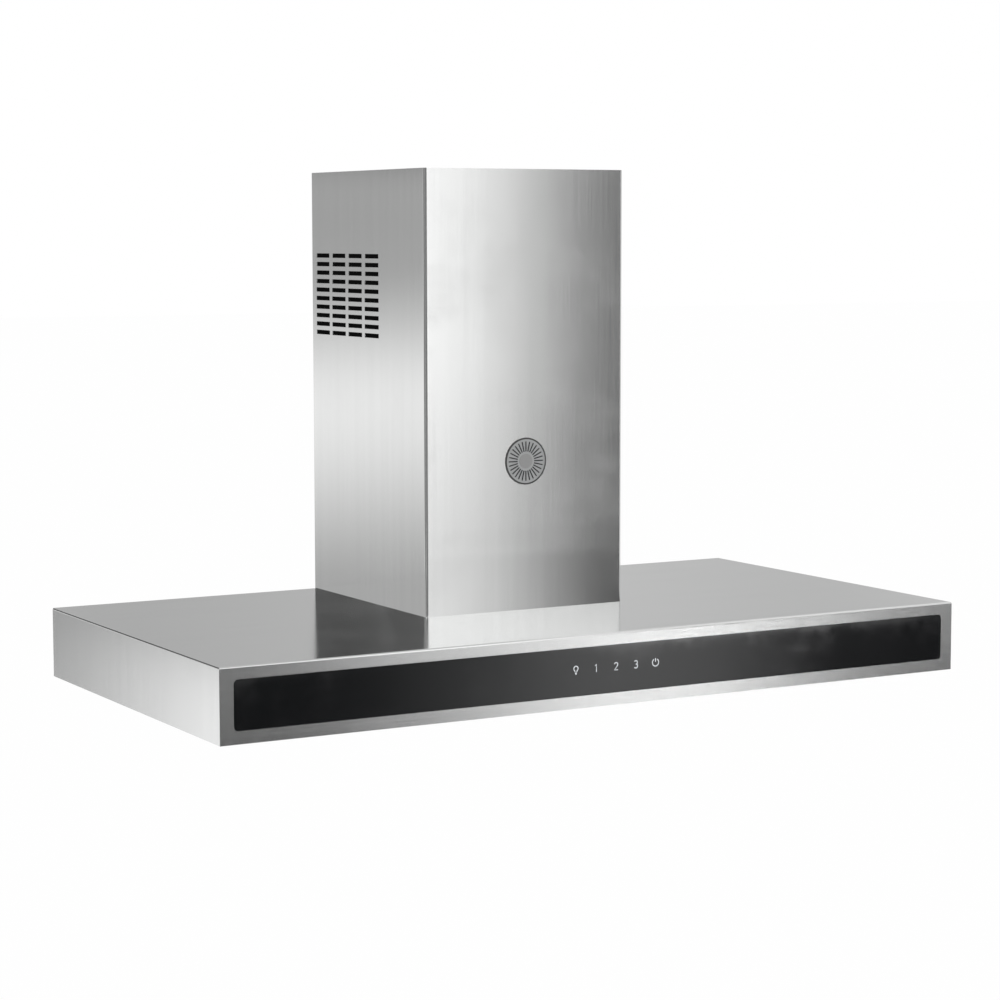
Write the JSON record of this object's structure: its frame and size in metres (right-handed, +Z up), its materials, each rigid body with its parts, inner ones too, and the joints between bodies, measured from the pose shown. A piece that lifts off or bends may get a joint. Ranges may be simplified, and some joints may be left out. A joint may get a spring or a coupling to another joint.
{
  "type": "wall-mounted range hood",
  "caption": "Wall-mounted T-shaped range hood: slim brushed-steel canopy with black glass touch front, telescopic chimney with side vents, tilting baffle filters, blower and duct damper.",
  "frame": {"origin": "middle of the canopy's lower back edge, on the wall plane", "axes": "+X right along the canopy's width as seen from the room, +Y into the wall, +Z up; the front faces -Y"},
  "size_m": [0.898, 0.464, 0.562],
  "materials": {
    "canopy_steel": "brushed along the width",
    "chimney_steel": "brushed upright",
    "panel_steel": "brushed along the width",
    "filter_steel": "brushed along the baffles",
    "black_glass": "polished black glass, printed from behind",
    "foam_tape": "closed-cell foam",
    "black_plastic": "moulded, satin",
    "grey_plastic": "moulded, satin",
    "impeller_plastic": "moulded, satin",
    "latch_plastic": "moulded, satin",
    "circuit_board": "solder resist",
    "key_rubber": "moulded",
    "zinc_steel": "zinc plated",
    "motor_steel": "satin paint",
    "shaft_steel": "ground",
    "spring_steel": "blued strip",
    "lamp_metal": "satin",
    "lamp_lens": "frosted",
    "capacitor_can": "drawn can"
  },
  "bodies": {
    "canopy": {"blower_box": "zinc_steel", "blower_box_cover": "zinc_steel", "cable_gland": "grey_plastic", "canopy_shell": "canopy_steel", "capacitor": "capacitor_can", "chimney_cover_lower": "chimney_steel", "collar_flange": "black_plastic", "damper_axle": "shaft_steel", "duct_collar": "black_plastic", "electronics_box": "black_plastic", "electronics_lid": "black_plastic", "front_glass": "black_glass", "glass_tape": "foam_tape", "lamp_housing_left": "lamp_metal", "lamp_housing_right": "lamp_metal", "lamp_lens_left": "lamp_lens", "lamp_lens_right": "lamp_lens", "main_board": "circuit_board", "motor_body": "motor_steel", "motor_bracket": "zinc_steel", "motor_bushes": "key_rubber", "outlet_transition": "grey_plastic", "scroll_left": "grey_plastic", "scroll_right": "grey_plastic", "terminal_block": "grey_plastic", "touch_board": "circuit_board", "touch_carrier": "black_plastic", "touch_pads": "key_rubber", "underside_panel": "panel_steel", "wall_hook_left": "zinc_steel", "wall_hook_right": "zinc_steel"},
    "chimney_upper": {"chimney_cover_upper": "chimney_steel", "chimney_bracket": "zinc_steel"},
    "impeller": {"impeller": "impeller_plastic", "motor_shaft": "shaft_steel"},
    "damper_left": {"damper_flap_left": "grey_plastic"},
    "damper_right": {"damper_flap_right": "grey_plastic"},
    "filter_left": {"filter_frame_left": "filter_steel", "filter_baffles_left": "filter_steel", "latch_spring_left": "spring_steel"},
    "latch_left": {"filter_latch_left": "latch_plastic"},
    "filter_centre": {"filter_frame_centre": "filter_steel", "filter_baffles_centre": "filter_steel", "latch_spring_centre": "spring_steel"},
    "latch_centre": {"filter_latch_centre": "latch_plastic"},
    "filter_right": {"filter_frame_right": "filter_steel", "filter_baffles_right": "filter_steel", "latch_spring_right": "spring_steel"},
    "latch_right": {"filter_latch_right": "latch_plastic"}
  },
  "joints": [
    {"name": "chimney_slide", "type": "slide", "parent": "canopy", "child": "chimney_upper", "axis": [0, 0, 1], "range_m": [0, 0.4]},
    {"name": "impeller_spin", "type": "hinge", "parent": "canopy", "child": "impeller", "pos_m": [0, -0.133, 0.195], "axis": [1, 0, 0], "continuous": true},
    {"name": "damper_left_turn", "type": "hinge", "parent": "canopy", "child": "damper_left", "pos_m": [0, -0.139, 0.3965], "axis": [0, 1, 0], "range_deg": [0, 78]},
    {"name": "damper_right_turn", "type": "hinge", "parent": "canopy", "child": "damper_right", "pos_m": [0, -0.139, 0.3965], "axis": [0, -1, 0], "range_deg": [0, 78]},
    {"name": "filter_left_tilt", "type": "hinge", "parent": "canopy", "child": "filter_left", "pos_m": [-0.272, -0.0385, 0.00215], "axis": [1, 0, 0], "range_deg": [0, 70]},
    {"name": "filter_centre_tilt", "type": "hinge", "parent": "canopy", "child": "filter_centre", "pos_m": [0, -0.0385, 0.00215], "axis": [1, 0, 0], "range_deg": [0, 70]},
    {"name": "filter_right_tilt", "type": "hinge", "parent": "canopy", "child": "filter_right", "pos_m": [0.272, -0.0385, 0.00215], "axis": [1, 0, 0], "range_deg": [0, 70]},
    {"name": "latch_left_slide", "type": "slide", "parent": "filter_left", "child": "latch_left", "axis": [0, 1, 0], "range_m": [0, 0.006], "stiffness_N_per_m": 400, "springref_m": -0.003, "deforming": ["latch_spring_left"]},
    {"name": "latch_centre_slide", "type": "slide", "parent": "filter_centre", "child": "latch_centre", "axis": [0, 1, 0], "range_m": [0, 0.006], "stiffness_N_per_m": 400, "springref_m": -0.003, "deforming": ["latch_spring_centre"]},
    {"name": "latch_right_slide", "type": "slide", "parent": "filter_right", "child": "latch_right", "axis": [0, 1, 0], "range_m": [0, 0.006], "stiffness_N_per_m": 400, "springref_m": -0.003, "deforming": ["latch_spring_right"]}
  ]
}
